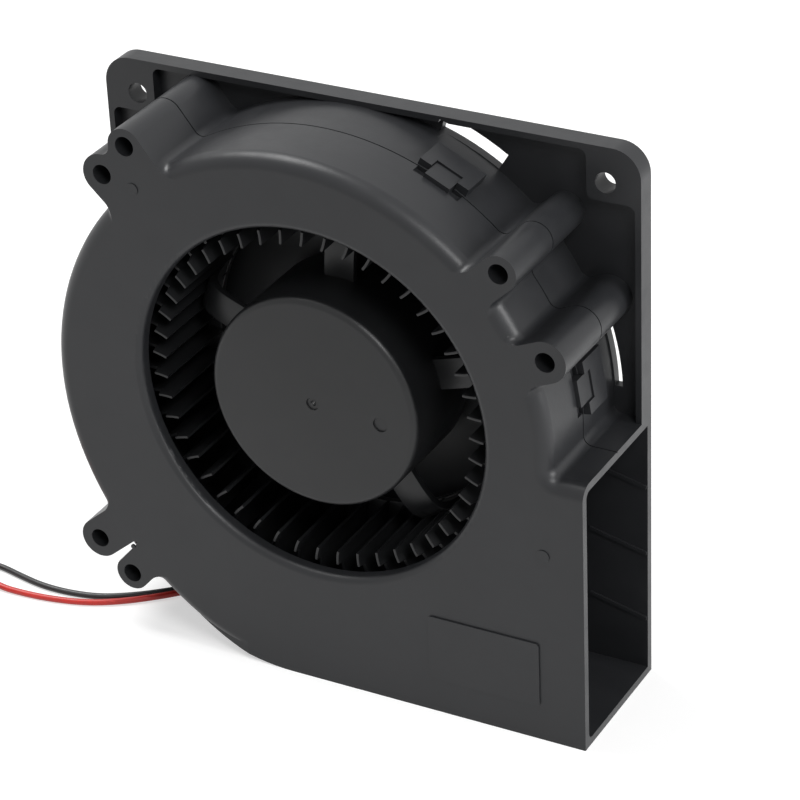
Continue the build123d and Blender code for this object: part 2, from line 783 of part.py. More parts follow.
with BuildPart() as impeller:
    # Hub cup, with the boss that holds the shaft's bush
    with BuildSketch(turning_plane):
        with BuildLine():
            Polyline(
                (0, hub_front_y),
                (hub_radius, hub_front_y),
                (hub_radius, hub_rear_y),
                (hub_radius - hub_skirt, hub_rear_y),
                (hub_radius - hub_skirt, hub_front_y + hub_face),
                (hub_boss_radius, hub_front_y + hub_face),
                (hub_boss_radius, hub_boss_end_y),
                (bush_radius, hub_boss_end_y),
                (bush_radius, hub_front_y + hub_face),
                (0, hub_front_y + hub_face),
                close=True,
            )
        make_face()
    revolve(axis=rotor_axis)
    rim = impeller.edges().filter_by(GeomType.CIRCLE).filter_by(
        lambda e: abs(e.radius - hub_radius) < 1e-3 and abs(e.center().Y - hub_front_y) < 1e-3
    )
    fillet(rim, hub_rounding)
    ring_of(0.0, gate_radius, hub_front_y + mark_height, hub_front_y, mode=Mode.SUBTRACT)
    with BuildSketch(rotor_plane(hub_front_y + mark_height)):
        with PolarLocations(hub_mark_circle, 1, start_angle=hub_mark_angle):
            Circle(hub_mark_radius)
    extrude(amount=mark_height, mode=Mode.SUBTRACT)
    # Floor of the drum, blades and the ring round their front ends
    ring_of(blade_inner_radius, blade_outer_radius, drum_rear_y, drum_floor_y)
    with BuildSketch(rotor_plane(drum_floor_y)):
        add(blade_face(blade_outer_radius))
    extrude(amount=drum_floor_y - blade_step_y)
    with BuildSketch(rotor_plane(blade_step_y)):
        add(blade_face(blade_step_radius))
    extrude(amount=blade_step_y - blade_front_y)
    ring_of(blade_outer_radius - ring_width, blade_outer_radius, blade_step_y + ring_height, blade_step_y)
    # Spokes that slope back from the hub to the floor of the drum
    spoke_start = hub_radius - hub_skirt / 2
    spoke_end = blade_inner_radius + spoke_overlap
    slope = (drum_floor_y - spoke_front_y) / (spoke_end - spoke_start)
    spoke_depth = spoke_thickness * hypot(1.0, slope)
    for number in range(spoke_count):
        angle = radians(spoke_angle + 360 * number / spoke_count)
        spoke_plane = Plane(
            origin=(0, 0, rotor_height), x_dir=(cos(angle), 0, sin(angle)), z_dir=(-sin(angle), 0, cos(angle))
        )
        with BuildSketch(spoke_plane):
            with BuildLine():
                Polyline(
                    (spoke_start, spoke_front_y),
                    (spoke_end, drum_floor_y),
                    (spoke_end, drum_rear_y),
                    (spoke_end - (spoke_depth - drum_floor) / slope, drum_rear_y),
                    (spoke_start, spoke_front_y + spoke_depth),
                    close=True,
                )
            make_face()
        extrude(amount=spoke_width / 2, both=True)
impeller.part.label = "impeller"
export_step(impeller.part, "parts/impeller.step")

# Steel yoke and ring magnet inside the hub
hub_inside_y = hub_front_y + hub_face
yoke_radius = hub_radius - hub_skirt
magnet_radius = yoke_radius - yoke_thickness
with BuildPart() as rotor_yoke:
    ring_of(hub_boss_radius, yoke_radius, yoke_rear_y, hub_inside_y)
    ring_of(0.0, magnet_radius, yoke_rear_y, hub_inside_y + yoke_thickness, mode=Mode.SUBTRACT)
rotor_yoke.part.label = "rotor_yoke"
export_step(rotor_yoke.part, "parts/rotor_yoke.step")

with BuildPart() as rotor_magnet:
    ring_of(magnet_inner_radius, magnet_radius, yoke_rear_y, magnet_front_y)
rotor_magnet.part.label = "rotor_magnet"
export_step(rotor_magnet.part, "parts/rotor_magnet.step")

# Shaft with its bush, spacer and clip
with BuildPart() as hub_bush:
    ring_of(shaft_radius, bush_radius, hub_boss_end_y, hub_inside_y)
hub_bush.part.label = "hub_bush"
export_step(hub_bush.part, "parts/hub_bush.step")

with BuildPart() as shaft:
    ring_of(0.0, shaft_radius, shaft_end_y, hub_inside_y)
    chamfer(shaft.edges(), shaft_chamfer)
    ring_of(
        shaft_radius - clip_groove, shaft_radius, rear_bearing_end_y + clip_thickness, rear_bearing_end_y,
        mode=Mode.SUBTRACT,
    )
shaft.part.label = "shaft"
export_step(shaft.part, "parts/shaft.step")

with BuildPart() as bearing_spacer:
    ring_of(shaft_radius, inner_ring_radius, front_bearing_y, hub_boss_end_y)
bearing_spacer.part.label = "bearing_spacer"
export_step(bearing_spacer.part, "parts/bearing_spacer.step")

with BuildPart() as shaft_clip:
    with BuildSketch(rotor_plane(rear_bearing_end_y + clip_thickness)):
        Circle(clip_radius)
        Circle(shaft_radius - clip_groove, mode=Mode.SUBTRACT)
        with Locations((clip_radius / 2, 0)):
            Rectangle(clip_radius, clip_mouth, mode=Mode.SUBTRACT)
    extrude(amount=clip_thickness)
shaft_clip.part.label = "shaft_clip"
export_step(shaft_clip.part, "parts/shaft_clip.step")


def lead_tube(name, points):
    """A loose stretch of lead: straight runs with the largest arc that each corner has room for."""
    points = [Vector(*point) for point in points]
    radii = []
    for before, point, after in zip(points, points[1:], points[2:]):
        turn = (point - before).get_angle(after - point)
        shorter = min((point - before).length, (after - point).length)
        radii.append(arc_share * shorter / tan(radians(turn / 2)))
    with BuildPart() as tube:
        with BuildLine() as path:
            FilletPolyline(*points, radius=radii)
        with BuildSketch(Plane(origin=points[0], z_dir=points[1] - points[0])):
            Circle(lead_radius)
        sweep()
    tube.part.label = name
    export_step(tube.part, f"parts/{name}.step")
    length = sum(edge.length for edge in path.edges())
    print(name, "length", round(length, 1), "radii", [round(radius, 1) for radius in radii])
    print(name, "volume", round(tube.part.volume, 2), "against", round(pi * lead_radius**2 * length, 2))


lead_tube("black_lead", [exit_points["black"], *black_route])
lead_tube("red_lead", [exit_points["red"], *red_route])
lead_tube("black_tail", [*black_tail_route, (connector_x, connector_y - connector_pitch / 2, connector_z)])
lead_tube("red_tail", [*red_tail_route, (connector_x, connector_y + connector_pitch / 2, connector_z)])

# The coiled stretch of each lead, as a solid of its outer shape, one on the other
for number, name in enumerate(("black_coil", "red_coil")):
    with BuildPart() as coil:
        with BuildSketch(Plane.XY.offset(coil_rest + number * coil_band)):
            with Locations(coil_centre):
                Circle(coil_radius + coil_band / 2)
                Circle(coil_radius - coil_band / 2, mode=Mode.SUBTRACT)
        extrude(amount=coil_band)
    coil.part.label = name
    export_step(coil.part, f"parts/{name}.step")

# Tie round both coils
tie_way = Vector(cos(radians(tie_angle)), sin(radians(tie_angle)), 0)
tie_middle = Vector(coil_centre[0], coil_centre[1], coil_rest + coil_band) + tie_way * coil_radius
with BuildPart() as lead_tie:
    with BuildSketch(Plane(origin=tie_middle, x_dir=tie_way, z_dir=(-tie_way.Y, tie_way.X, 0))):
        tie_inside = (coil_band + 2 * tie_gap, 2 * coil_band + 2 * tie_gap)
        RectangleRounded(
            tie_inside[0] + 2 * tie_thickness, tie_inside[1] + 2 * tie_thickness, tie_thickness
        )
        Rectangle(*tie_inside, mode=Mode.SUBTRACT)
    extrude(amount=tie_width / 2, both=True)
lead_tie.part.label = "lead_tie"
export_step(lead_tie.part, "parts/lead_tie.step")

# Plain two-way connector at the end of the leads
length, width, height = connector_size
socket_size, socket_depth = connector_socket
socket_places = [(connector_y + side * connector_pitch / 2, connector_z) for side in (-1, 1)]
with BuildPart() as lead_connector:
    with BuildSketch(Plane.YZ.offset(connector_x)):
        with Locations((connector_y, connector_z)):
            Rectangle(width, height)
    extrude(amount=length)
    chamfer(lead_connector.edges().filter_by(Axis.X), connector_chamfer)
    with BuildSketch(Plane.YZ.offset(connector_x + length)):
        with Locations(*socket_places):
            Rectangle(socket_size, socket_size)
    extrude(amount=-socket_depth, mode=Mode.SUBTRACT)
    ridge_length, ridge_width, ridge_height = connector_ridge
    with BuildSketch(Plane.XY.offset(height)):
        with Locations((connector_x + length / 2, connector_y)):
            Rectangle(ridge_length, ridge_width)
    extrude(amount=ridge_height)
lead_connector.part.label = "lead_connector"
export_step(lead_connector.part, "parts/lead_connector.step")

with BuildPart() as connector_terminals:
    with BuildSketch(Plane.YZ.offset(connector_x + length - socket_depth)):
        with Locations(*socket_places):
            Rectangle(terminal_size[1], terminal_size[1])
    extrude(amount=terminal_size[0])
connector_terminals.part.label = "connector_terminals"
export_step(connector_terminals.part, "parts/connector_terminals.step")
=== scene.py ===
"""Flat centrifugal blower: finishes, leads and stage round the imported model."""
import json
from math import cos, degrees, pi, radians, sin, sqrt

import bmesh
import bpy
from mathutils import Matrix, Vector


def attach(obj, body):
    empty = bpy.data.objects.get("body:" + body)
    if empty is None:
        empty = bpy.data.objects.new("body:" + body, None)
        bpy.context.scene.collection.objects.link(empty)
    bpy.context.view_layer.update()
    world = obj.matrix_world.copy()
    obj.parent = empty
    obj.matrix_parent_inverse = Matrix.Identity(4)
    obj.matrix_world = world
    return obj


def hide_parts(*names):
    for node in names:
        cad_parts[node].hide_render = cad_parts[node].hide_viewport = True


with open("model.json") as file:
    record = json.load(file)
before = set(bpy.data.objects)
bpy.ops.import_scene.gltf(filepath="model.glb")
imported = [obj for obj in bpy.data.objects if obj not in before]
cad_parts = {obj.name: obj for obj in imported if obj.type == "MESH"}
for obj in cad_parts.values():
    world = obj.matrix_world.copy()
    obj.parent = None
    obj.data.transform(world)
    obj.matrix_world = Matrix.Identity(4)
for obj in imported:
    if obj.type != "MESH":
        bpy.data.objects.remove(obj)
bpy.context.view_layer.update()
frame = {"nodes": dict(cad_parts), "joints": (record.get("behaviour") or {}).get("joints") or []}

bl_info = {
    "name": "Centrifugal Blower",
    "version": (1, 0, 0),
    "blender": (4, 5, 0),
    "location": "View3D > Sidebar > Blower",
    "description": "Dresses the packed blower with its finishes, leads and a plain stage",
    "category": "Object",
}

MM = 0.001
NODES = frame["nodes"]

# Which pieces take which finish
HOUSING_NODES = ("front_cover", "rear_frame")
STEEL_NODES = ("case_screws", "rotor_yoke")
BEARING_NODES = (
    "front_bearing_outer_ring", "rear_bearing_outer_ring", "front_bearing_balls", "rear_bearing_balls",
    "front_bearing_inner_ring", "rear_bearing_inner_ring", "shaft", "shaft_clip",
)
BRASS_NODES = ("bearing_tube", "hub_bush", "bearing_spacer")
CHIP_NODES = ("drive_chip", "hall_sensor")
INSULATOR_NODES = ("front_insulator", "rear_insulator")

# The turning mesh stands on Z with the inlet on top, and this lays it on the rotor's axis
ROTOR_CENTRE = next(joint["pos_m"] for joint in frame["joints"] if joint["name"] == "rotor_spin")
ROTOR_PLACE = Matrix.Translation(ROTOR_CENTRE) @ Matrix.Rotation(pi / 2, 4, "X")

# Edges that turn by more than this stay sharp or are broken
MOULDED_TURN = radians(32.0)
IMPELLER_TURN = radians(40.0)
BROKEN_EDGE = 0.25 * MM

# How strongly black plastic mirrors its white surroundings in the photo
PLASTIC_INDEX = 1.40

# Routes of the two leads, from the housing's wall along the floor, in metres
BLACK_ROUTE = (
    (-0.03384, 0.0131, 0.00809), (-0.0349, 0.0131, 0.0063), (-0.0360, 0.0116, 0.0046),
    (-0.0378, 0.0091, 0.0029), (-0.0402, 0.0056, 0.0015), (-0.0434, 0.0017, 0.00075),
    (-0.0476, -0.0022, 0.00075), (-0.0530, -0.0064, 0.00075), (-0.0590, -0.0098, 0.00075),
    (-0.0658, -0.0112, 0.00075), (-0.0729, -0.0113, 0.00075), (-0.0794, -0.0100, 0.00075),
    (-0.0860, -0.0084, 0.00075), (-0.0923, -0.0086, 0.0009), (-0.0974, -0.0100, 0.0014),
)
RED_ROUTE = (
    (-0.03236, 0.0131, 0.00725), (-0.0335, 0.0131, 0.0054), (-0.0347, 0.0109, 0.0038),
    (-0.0366, 0.0079, 0.0023), (-0.0393, 0.0042, 0.0010), (-0.0432, -0.0002, 0.00075),
    (-0.0482, -0.0049, 0.00075), (-0.0539, -0.0094, 0.00075), (-0.0602, -0.0129, 0.00075),
    (-0.0676, -0.0148, 0.00075), (-0.0750, -0.0156, 0.00075), (-0.0820, -0.0156, 0.0009),
    (-0.0884, -0.0139, 0.0026), (-0.0936, -0.0119, 0.0046), (-0.0970, -0.0106, 0.0050),
)
BLACK_TAIL = (
    (-0.0986, -0.0281, 0.0027), (-0.0957, -0.0289, 0.0029), (-0.0929, -0.0286, 0.0029),
    (-0.0905, -0.02835, 0.00285),
)
RED_TAIL = (
    (-0.0985, -0.0279, 0.0056), (-0.0956, -0.0275, 0.0050), (-0.0929, -0.0263, 0.0037),
    (-0.0905, -0.02585, 0.00285),
)

# Degrees along the coil between which a lead crosses to the inner, the upper and the outer turn
TO_INNER = (300.0, 350.0)
TO_UPPER = (600.0, 650.0)
TO_OUTER = (900.0, 950.0)


def length_property(name, description, millimetres):
    return bpy.props.FloatProperty(
        name=name, description=description, default=millimetres * MM, unit="LENGTH", precision=5
    )


def number_property(name, description, number):
    return bpy.props.FloatProperty(name=name, description=description, default=number)


def count_property(name, description, count):
    return bpy.props.IntProperty(name=name, description=description, default=count, min=3)


def angle_property(name, description, turn):
    return bpy.props.FloatProperty(
        name=name, description=description, default=radians(turn), subtype="ANGLE"
    )


def place_property(name, description, metres):
    return bpy.props.FloatVectorProperty(
        name=name, description=description, default=metres, subtype="TRANSLATION"
    )


def colour_property(name, description, value):
    return bpy.props.FloatVectorProperty(
        name=name, description=description, default=value, subtype="COLOR"
    )


class BlowerLeadSizes(bpy.types.PropertyGroup):
    """Sizes of the two loose leads."""

    diameter: length_property("Diameter", "Outer diameter of one insulated lead", 1.4)
    coil_centre: place_property("Coil centre", "Middle of both coils on the floor", (-0.101, -0.019, 0.0))
    coil_radius: length_property("Coil radius", "Radius to the middle of the coil's band", 8.1)
    coil_rest: length_property("Coil height", "Height of the lower coil's underside", 0.5)
    turn_pitch: length_property("Turn pitch", "Distance between neighbouring turns", 1.5)
    first_angle: angle_property("First angle", "Where the coil's first turn starts", 93.0)
    turned: angle_property("Turned", "How far the lead turns in its coil", 1272.0)
    points_per_turn: count_property("Points per turn", "Control points on each turn of the coil", 16)


class BlowerImpellerSizes(bpy.types.PropertyGroup):
    """Sizes of the impeller. Heights are towards the inlet, from the middle of the housing's depth."""

    hub_radius: length_property("Hub radius", "Outer radius of the hub", 23.3)
    hub_front: length_property("Hub front", "Height of the hub's face", 14.2)
    hub_rear: length_property("Hub rear", "Height of the hub's open end", -8.0)
    hub_wall: length_property("Hub wall", "Wall of the hub", 1.4)
    hub_face: length_property("Hub face", "Thickness of the hub's face", 1.6)
    hub_rounding: length_property("Hub rounding", "Rounding of the hub's front edge", 1.5)
    gate_radius: length_property("Gate radius", "Radius of the sunk spot in the middle of the hub", 1.4)
    mark_circle: length_property("Mark circle", "Radius on which the second sunk spot lies", 15.3)
    mark_angle: angle_property("Mark angle", "Where the second sunk spot lies", -4.4)
    mark_radius: length_property("Mark radius", "Radius of the second sunk spot", 1.6)
    mark_depth: length_property("Mark depth", "Depth of the sunk spots", 0.35)
    blade_count: count_property("Blade count", "Blades round the drum", 47)
    blade_inner: length_property("Blade inner radius", "Where the blades start", 34.5)
    blade_outer: length_property("Blade outer radius", "Where the blades end", 46.4)
    blade_thickness: length_property("Blade thickness", "Thickness of one blade", 0.6)
    blade_bulge: length_property("Blade bulge", "How far the middle of a blade stands off its chord", 1.3)
    blade_lean: angle_property("Blade lean", "Angle of the chord to the radius", 7.5)
    blade_front: length_property("Blade front", "Height of the blades' inner part", 13.3)
    blade_step: length_property("Blade step", "Height of the blades' outer part", 11.2)
    step_radius: length_property("Step radius", "Where the blades step down", 37.7)
    ring_width: length_property("Ring width", "Width of the ring round the blades", 1.5)
    ring_height: length_property("Ring height", "Height of the ring round the blades", 1.4)
    floor_front: length_property("Floor front", "Height of the drum's floor", -8.6)
    floor_height: length_property("Floor thickness", "Thickness of the drum's floor", 1.5)
    spoke_count: count_property("Spoke count", "Spokes between hub and drum", 5)
    spoke_angle: angle_property("Spoke angle", "Where the first spoke lies", 15.3)
    spoke_width: length_property("Spoke width", "Width of one spoke", 6.6)
    spoke_thickness: length_property("Spoke thickness", "Thickness of one spoke", 1.6)
    spoke_start: length_property("Spoke start", "Height of the spokes' front at the hub", 3.0)
    edge: length_property("Edge", "Rounding of the small edges of hub, blades and spokes", 0.15)


class BlowerStageSizes(bpy.types.PropertyGroup):
    """Places of the camera, the floor and the lamps."""

    target: place_property("Target", "Point in the middle of the picture", (0.020994, -0.016, 0.071796))
    distance: length_property("Distance", "From the camera to the target", 640.744)
    azimuth: angle_property("Azimuth", "How far round the camera stands", 29.267)
    elevation: angle_property("Elevation", "How far above the horizon the camera stands", 29.599)
    roll: angle_property("Roll", "How far the camera leans", -2.522)
    focal_length: number_property("Focal length", "Focal length of the lens, in millimetres", 148.35)
    sensor_width: number_property("Sensor width", "Width of the camera's sensor, in millimetres", 36.0)
    floor_size: length_property("Floor size", "Width of the floor", 12000.0)
    floor_glow: number_property("Floor glow", "White that the floor adds to the camera and in gloss", 0.55)
    world_light: number_property("World light", "Strength of the light from all around", 0.2)
    world_seen: number_property("World seen", "White of the world to the camera and in gloss", 1.0)
    lamp_target: place_property("Lamp target", "Point that the lamps face", (0.0, 0.0, 0.06))
    top_lamp: place_property("Top lamp", "Place of the lamp above on the left", (-0.45, 0.05, 0.90))
    side_lamp: place_property("Side lamp", "Place of the lamp on the right", (0.90, 0.05, 0.35))
    front_lamp: place_property("Front lamp", "Place of the lamp above the camera", (0.62, -0.49, 0.82))


class BlowerFinish(bpy.types.PropertyGroup):
    """Colours of the finishes."""

    housing: colour_property("Housing", "Moulded plastic of the housing", (0.0165, 0.0172, 0.0190))
    # The impeller is darker than the housing: its own black plastic, with painted shade for the shade that
    # falls inside the housing.
    impeller: colour_property("Impeller", "Moulded plastic of the impeller", (0.0100, 0.0104, 0.0112))
    black_lead: colour_property("Black lead", "Insulation of the black lead", (0.012, 0.012, 0.013))
    red_lead: colour_property("Red lead", "Insulation of the red lead", (0.52, 0.022, 0.015))
    connector: colour_property("Connector", "Nylon of the connector", (0.72, 0.70, 0.64))
    floor: colour_property("Floor", "Plain pale floor", (0.60, 0.60, 0.60))


def lead_sizes():
    return bpy.context.scene.blower_leads


def impeller_sizes():
    return bpy.context.scene.blower_impeller


def stage_sizes():
    return bpy.context.scene.blower_stage


def finish_colours():
    return bpy.context.scene.blower_finish


def shown(piece):
    """Puts a new object into the scene and gives it back."""
    bpy.context.scene.collection.objects.link(piece)
    return piece


# Materials

class Shader:
    """A material with one Principled shader and short calls to add nodes to it."""

    def __init__(self, name):
        self.material = bpy.data.materials.new(name)
        self.material.use_nodes = True
        self.tree = self.material.node_tree
        self.shader = self.tree.nodes["Principled BSDF"]
        self.place = self.add("ShaderNodeTexCoord").outputs["Object"]

    def add(self, kind, **settings):
        made = self.tree.nodes.new(kind)
        for key, value in settings.items():
            setattr(made, key, value)
        return made

    def link(self, source, target):
        self.tree.links.new(source, target)

    def noise(self, scale, detail=3.0, roughness=0.5):
        made = self.add("ShaderNodeTexNoise")
        made.inputs["Scale"].default_value = scale
        made.inputs["Detail"].default_value = detail
        made.inputs["Roughness"].default_value = roughness
        self.link(self.place, made.inputs["Vector"])
        return made.outputs["Fac"]

    def ranged(self, value, low, high, to_low, to_high):
        made = self.add("ShaderNodeMapRange")
        for key, number in (("From Min", low), ("From Max", high), ("To Min", to_low), ("To Max", to_high)):
            made.inputs[key].default_value = number
        self.link(value, made.inputs["Value"])
        return made.outputs["Result"]

    def blend(self, factor, first, second):
        made = self.add("ShaderNodeMix", data_type="RGBA")
        made.inputs["A"].default_value = (*first, 1.0)
        made.inputs["B"].default_value = (*second, 1.0)
        self.link(factor, made.inputs["Factor"])
        return made.outputs["Result"]

    def bump(self, height, strength, distance):
        made = self.add("ShaderNodeBump")
        made.inputs["Strength"].default_value = strength
        made.inputs["Distance"].default_value = distance
        self.link(height, made.inputs["Height"])
        self.link(made.outputs["Normal"], self.shader.inputs["Normal"])

    def set(self, name, number):
        self.shader.inputs[name].default_value = number


def lighter(base, share):
    return tuple(min(1.0, part * (1.0 + share)) for part in base)


def moulded_plastic(name, base, roughness, grain=2600.0, index=1.5):
    """Moulded plastic: a fine spark-eroded grain, slow changes of tone and slightly uneven gloss."""
    made = Shader(name)
    drift = made.noise(38.0, 4.0, 0.55)
    tone = made.blend(made.ranged(drift, 0.3, 0.7, 0.0, 1.0), lighter(base, -0.10), lighter(base, 0.14))
    made.link(tone, made.shader.inputs["Base Color"])
    cloud = made.noise(160.0, 5.0, 0.6)
    gloss = made.ranged(cloud, 0.3, 0.7, roughness - 0.05, roughness + 0.06)
    made.link(gloss, made.shader.inputs["Roughness"])
    made.set("IOR", index)
    made.bump(made.noise(grain, 2.0, 0.6), 0.25, 0.06 * MM)
    return made.material


def brushed_metal(name, base, roughness, scale=(60.0, 2400.0, 60.0)):
    """Turned or ground metal, with fine marks across its own Y."""
    made = Shader(name)
    stretch = made.add("ShaderNodeMapping")
    stretch.inputs["Scale"].default_value = scale
    made.link(made.place, stretch.inputs["Vector"])
    marks = made.add("ShaderNodeTexNoise")
    marks.inputs["Scale"].default_value = 1.0
    marks.inputs["Detail"].default_value = 3.0
    made.link(stretch.outputs["Vector"], marks.inputs["Vector"])
    tone = made.blend(marks.outputs["Fac"], lighter(base, -0.12), lighter(base, 0.08))
    made.link(tone, made.shader.inputs["Base Color"])
    gloss = made.ranged(marks.outputs["Fac"], 0.3, 0.7, roughness - 0.07, roughness + 0.09)
    made.link(gloss, made.shader.inputs["Roughness"])
    made.set("Metallic", 1.0)
    made.bump(marks.outputs["Fac"], 0.2, 0.02 * MM)
    return made.material


def wire_insulation(name, base):
    """Soft PVC: smooth and a little waxy, with faint scuffs."""
    made = Shader(name)
    scuffs = made.noise(900.0, 4.0, 0.65)
    tone = made.blend(made.ranged(scuffs, 0.45, 0.75, 0.0, 1.0), base, lighter(base, 0.25))
    made.link(tone, made.shader.inputs["Base Color"])
    made.link(made.ranged(scuffs, 0.3, 0.7, 0.32, 0.46), made.shader.inputs["Roughness"])
    made.set("IOR", 1.52)
    made.bump(scuffs, 0.12, 0.05 * MM)
    return made.material


def dress(names, material):
    """Gives CAD nodes their material."""
    for name in names:
        slots = NODES[name].data.materials
        slots.clear()
        slots.append(material)


# Housing

def moulded_copy(node, material):
    """Shows a merged copy of a CAD node, with its sharp edges broken, in place of the node."""
    mesh = NODES[node].data.copy()
    mesh.name = f"{node}_mould"
    work = bmesh.new()
    work.from_mesh(mesh)
    bmesh.ops.remove_doubles(work, verts=work.verts, dist=0.001 * MM)
    bmesh.ops.dissolve_limit(
        work, angle_limit=radians(0.3), verts=work.verts, edges=work.edges, delimit={"NORMAL"}
    )
    work.to_mesh(mesh)
    work.free()
    piece = shown(bpy.data.objects.new(f"{node}_mould", mesh))
    mesh.materials.clear()
    mesh.materials.append(material)
    mesh.shade_smooth()
    mesh.set_sharp_from_angle(angle=MOULDED_TURN)
    broken = piece.modifiers.new("broken_edges", "BEVEL")
    broken.width = BROKEN_EDGE
    broken.segments = 2
    broken.limit_method = "ANGLE"
    broken.angle_limit = MOULDED_TURN
    flat = piece.modifiers.new("flat_faces", "WEIGHTED_NORMAL")
    flat.weight = 100
    flat.keep_sharp = True
    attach(piece, "housing")
    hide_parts(node)


class BLOWER_OT_housing(bpy.types.Operator):
    """Gives the front cover and the rear frame their moulded finish"""

    bl_idname = "blower.housing"
    bl_label = "Housing"

    def execute(self, context):
        plastic = moulded_plastic(
            "housing_plastic", tuple(finish_colours().housing), 0.38, index=PLASTIC_INDEX
        )
        for node in HOUSING_NODES:
            moulded_copy(node, plastic)
        return {"FINISHED"}


# Impeller

# Points round the drum's floor and ring
HOOP_POINTS = 188

# Share of the chord that a blade fills, so that its tips stay inside the ring
BLADE_SHARE = 0.995


class Tree:
    """A Geometry Nodes tree with short calls to add its inputs, nodes and links."""

    def __init__(self, name):
        self.group = bpy.data.node_groups.new(name, "GeometryNodeTree")
        self.group.interface.new_socket("Geometry", in_out="OUTPUT", socket_type="NodeSocketGeometry")
        self.start = None
        self.values = {}

    def size(self, name, kind, value):
        """Adds a named input and remembers the value that the modifier gets for it."""
        socket = self.group.interface.new_socket(name, in_out="INPUT", socket_type=f"NodeSocket{kind}")
        self.values[socket.identifier] = value
        if self.start is None:
            self.start = self.group.nodes.new("NodeGroupInput")
        return self.start.outputs[name]

    def node(self, kind, inputs, output, **settings):
        """Adds a node, sets or links its inputs by name or number, and gives back one output."""
        made = self.group.nodes.new(kind)
        for key, value in settings.items():
            setattr(made, key, value)
        for key, value in inputs.items():
            if isinstance(value, bpy.types.NodeSocket):
                self.group.links.new(value, made.inputs[key])
            else:
                made.inputs[key].default_value = value
        return made.outputs[output]

    def math(self, operation, first, second):
        return self.node("ShaderNodeMath", {0: first, 1: second}, "Value", operation=operation)

    def raised(self, geometry, height):
        """Moves geometry along Z."""
        place = self.node("ShaderNodeCombineXYZ", {"Z": height}, "Vector")
        return self.node("GeometryNodeTransform", {"Geometry": geometry, "Translation": place}, "Geometry")

    def bar(self, width, height, edge):
        """A rectangle with rounded corners, as a profile."""
        plain = self.node(
            "GeometryNodeCurvePrimitiveQuadrilateral", {"Width": width, "Height": height}, "Curve",
            mode="RECTANGLE",
        )
        return self.node(
            "GeometryNodeFilletCurve", {"Curve": plain, "Radius": edge, "Count": 2}, "Curve", mode="POLY"
        )

    def swept(self, curve, profile):
        return self.node(
            "GeometryNodeCurveToMesh", {"Curve": curve, "Profile Curve": profile, "Fill Caps": True}, "Mesh"
        )

    def hoop(self, inner, outer, bottom, height, edge):
        """A flat ring round the axis, with rounded edges."""
        width = self.math("SUBTRACT", outer, inner)
        middle = self.math("MULTIPLY", self.math("ADD", outer, inner), 0.5)
        circle = self.node(
            "GeometryNodeCurvePrimitiveCircle", {"Resolution": HOOP_POINTS, "Radius": middle}, "Curve"
        )
        ring = self.swept(circle, self.bar(width, height, edge))
        return self.raised(ring, self.math("ADD", bottom, self.math("MULTIPLY", height, 0.5)))

    def round_the_axis(self, geometry, count, first_angle):
        """Copies of the geometry, turned evenly about Z."""
        index = self.node("GeometryNodeInputIndex", {}, "Index")
        step = self.math("DIVIDE", 2 * pi, count)
        angle = self.math("ADD", first_angle, self.math("MULTIPLY", index, step))
        turn = self.node("ShaderNodeCombineXYZ", {"Z": angle}, "Vector")
        points = self.node("GeometryNodePoints", {"Count": count}, "Points")
        return self.node(
            "GeometryNodeInstanceOnPoints", {"Points": points, "Instance": geometry, "Rotation": turn},
            "Instances",
        )

    def joined(self, *parts):
        join = self.group.nodes.new("GeometryNodeJoinGeometry")
        for part in parts:
            self.group.links.new(part, join.inputs["Geometry"])
        return join.outputs["Geometry"]

    def finish(self, geometry, material):
        """Ends the tree with real geometry and its material."""
        real = self.node("GeometryNodeRealizeInstances", {"Geometry": geometry}, "Geometry")
        painted = self.node("GeometryNodeSetMaterial", {"Geometry": real, "Material": material}, "Geometry")
        end = self.group.nodes.new("NodeGroupOutput")
        self.group.links.new(painted, end.inputs["Geometry"])

    def made(self, name):
        """Runs the tree and gives back its result as a plain mesh."""
        carrier = shown(bpy.data.objects.new(name, bpy.data.meshes.new(name)))
        modifier = carrier.modifiers.new(name, "NODES")
        modifier.node_group = self.group
        for key, value in self.values.items():
            modifier[key] = value
        mesh = plain_mesh(carrier)
        bpy.data.objects.remove(carrier)
        bpy.data.node_groups.remove(self.group)
        mesh.name = name
        return mesh


def plain_mesh(carrier):
    """The mesh that an object's modifiers make."""
    depsgraph = bpy.context.evaluated_depsgraph_get()
    return bpy.data.meshes.new_from_object(carrier.evaluated_get(depsgraph), depsgraph=depsgraph)


def rotor_piece(name, mesh):
    """Shows a mesh that stands on Z as a piece of the rotor, with its faces merged and pointing out."""
    mesh.transform(ROTOR_PLACE)
    work = bmesh.new()
    work.from_mesh(mesh)
    bmesh.ops.remove_doubles(work, verts=work.verts, dist=1e-7)
    bmesh.ops.recalc_face_normals(work, faces=work.faces)
    work.to_mesh(mesh)
    work.free()
    mesh.shade_smooth()
    mesh.set_sharp_from_angle(angle=IMPELLER_TURN)
    piece = shown(bpy.data.objects.new(name, mesh))
    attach(piece, "rotor")
    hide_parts("impeller")


def blade_line(tree, sizes):
    """The middle line of one blade, as an arc that bulges off its chord."""
    lean = sizes.blade_lean
    way = Vector((cos(lean), sin(lean), 0.0))
    aside = Vector((-sin(lean), cos(lean), 0.0))
    root = Vector((sizes.blade_inner, 0.0, 0.0))
    reach = sqrt(sizes.blade_outer**2 - (sizes.blade_inner * sin(lean)) ** 2) - sizes.blade_inner * cos(lean)
    middle = root + way * (reach / 2) - aside * sizes.blade_bulge
    tip = root + way * (reach * BLADE_SHARE)
    return tree.node(
        "GeometryNodeCurveArc",
        {
            "Resolution": 25,
            "Start": tree.size("Blade Root", "Vector", root),
            "Middle": tree.size("Blade Middle", "Vector", middle),
            "End": tree.size("Blade Tip", "Vector", tip),
        },
        "Curve", mode="POINTS",
    )


